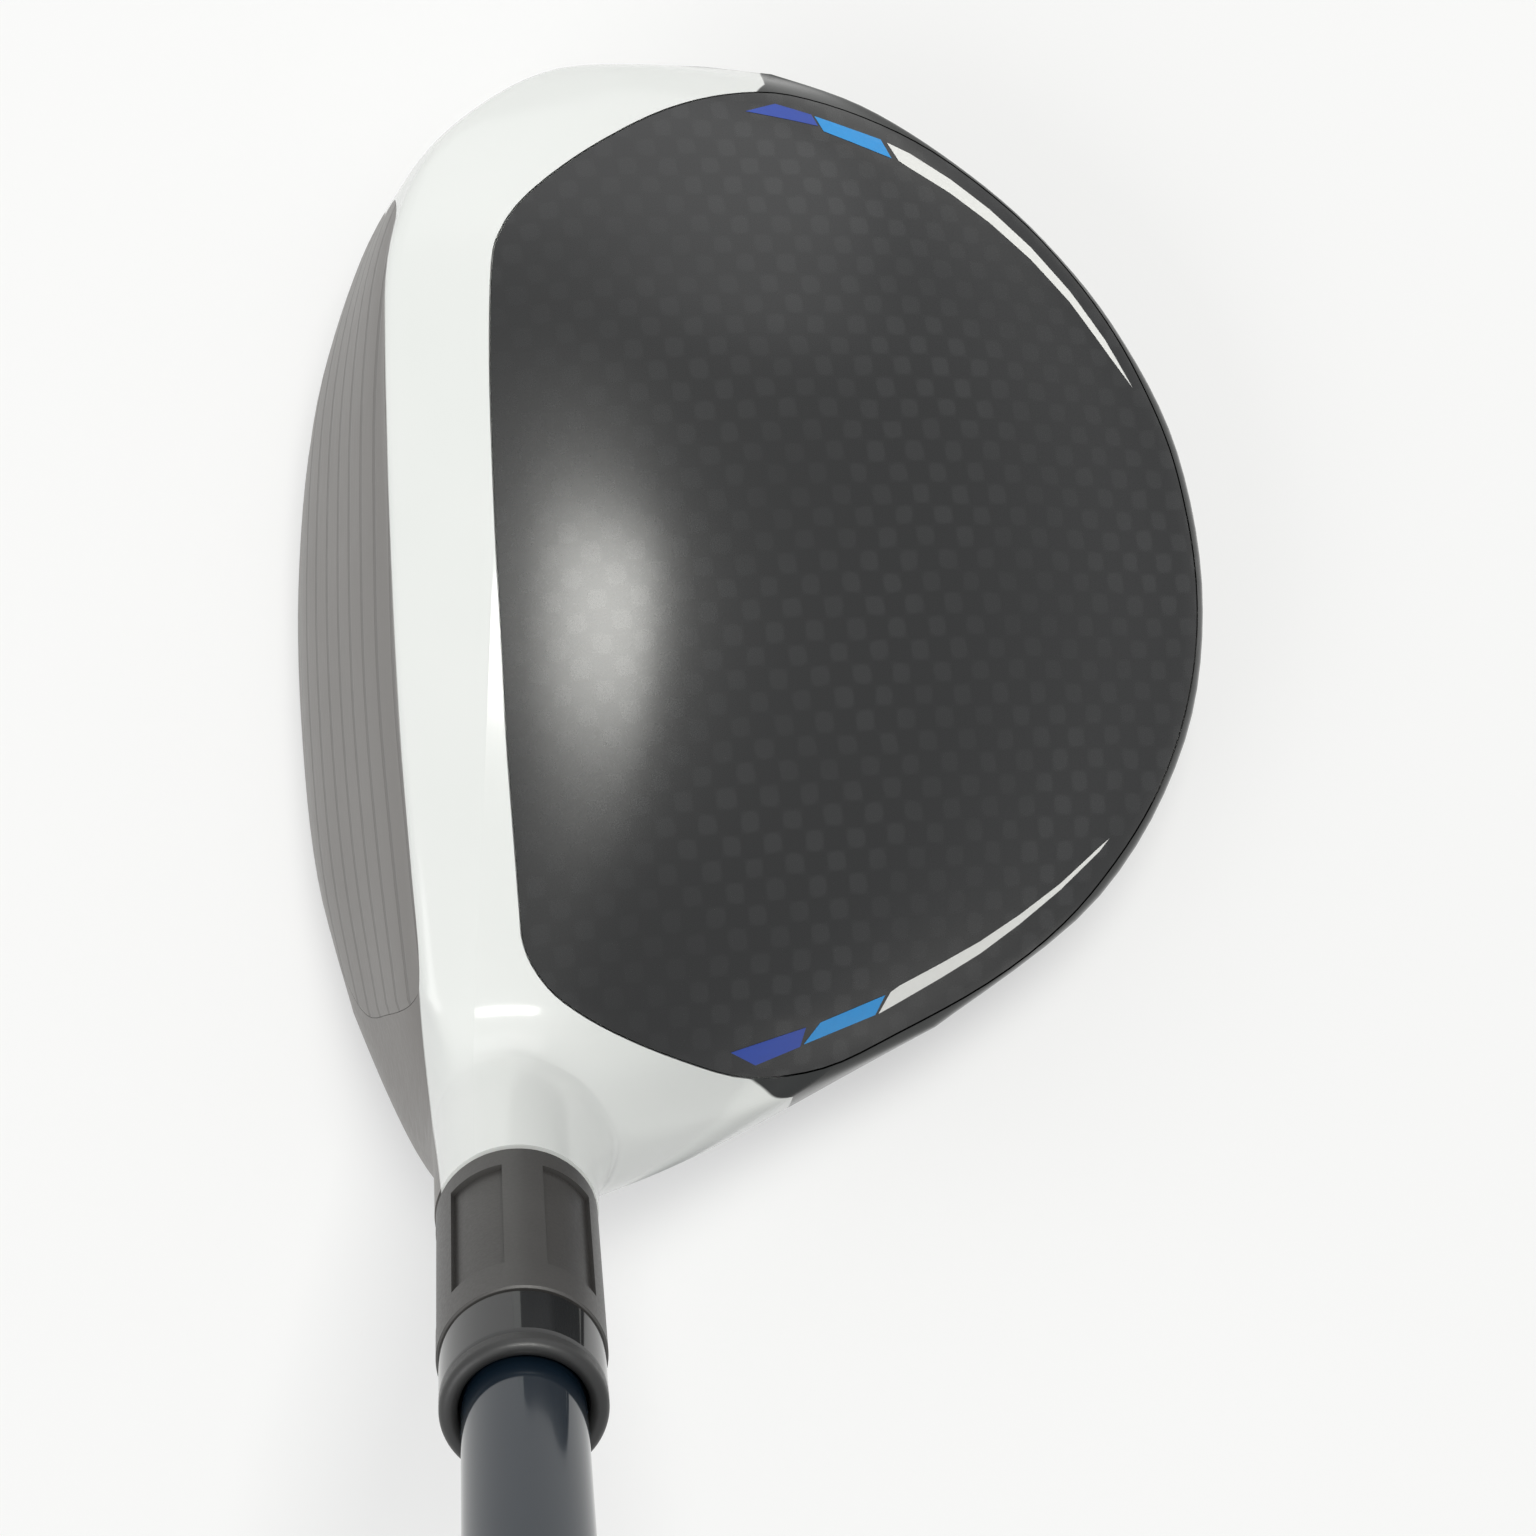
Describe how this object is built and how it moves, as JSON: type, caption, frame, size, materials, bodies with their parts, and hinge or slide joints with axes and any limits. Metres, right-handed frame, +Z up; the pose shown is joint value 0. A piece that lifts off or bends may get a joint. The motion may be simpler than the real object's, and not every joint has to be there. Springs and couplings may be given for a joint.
{
  "type": "golf wood",
  "caption": "Adjustable golf wood: white cast head with a black carbon crown panel, scored face and steel sole, loft sleeve, tapered graphite shaft and rubber grip.",
  "frame": {"origin": "middle of the flat on the sole keel, where the club rests at address", "axes": "+Z up; +Y towards the toe; +X from the face to the rear; the shaft line leans 58 degrees from the ground towards -Y"},
  "size_m": [0.0828, 0.6696, 0.9378],
  "materials": {
    "white_paint": "gloss",
    "face_metal": "brushed",
    "carbon": "satin",
    "sole_steel": "brushed",
    "slot_polymer": "matte",
    "sleeve_metal": "matte",
    "ferrule_black": "gloss",
    "screw_steel": "machined",
    "shaft_lacquer": "gloss",
    "tape": "matte",
    "grip_rubber": "matte",
    "cap_plastic": "matte"
  },
  "bodies": {
    "head": {"head_body": "white_paint", "face_plate": "face_metal", "crown_panel": "carbon", "sole_plate": "sole_steel", "slot_insert": "slot_polymer", "screw_washer": "screw_steel", "screw_retainer": "screw_steel"},
    "shaft_assembly": {"shaft": "shaft_lacquer", "loft_sleeve": "sleeve_metal", "ferrule": "ferrule_black", "grip_tape": "tape", "grip": "grip_rubber", "butt_cap": "cap_plastic"},
    "screw": {"sleeve_screw": "screw_steel"}
  },
  "joints": [
    {"name": "sleeve_lift", "type": "slide", "parent": "head", "child": "shaft_assembly", "axis": [0, -0.5299, 0.848], "range_m": [0, 0.04]},
    {"name": "screw_turn", "type": "hinge", "parent": "head", "child": "screw", "pos_m": [-0.02, -0.025, 0], "axis": [0, -0.5299, 0.848], "continuous": true}
  ]
}
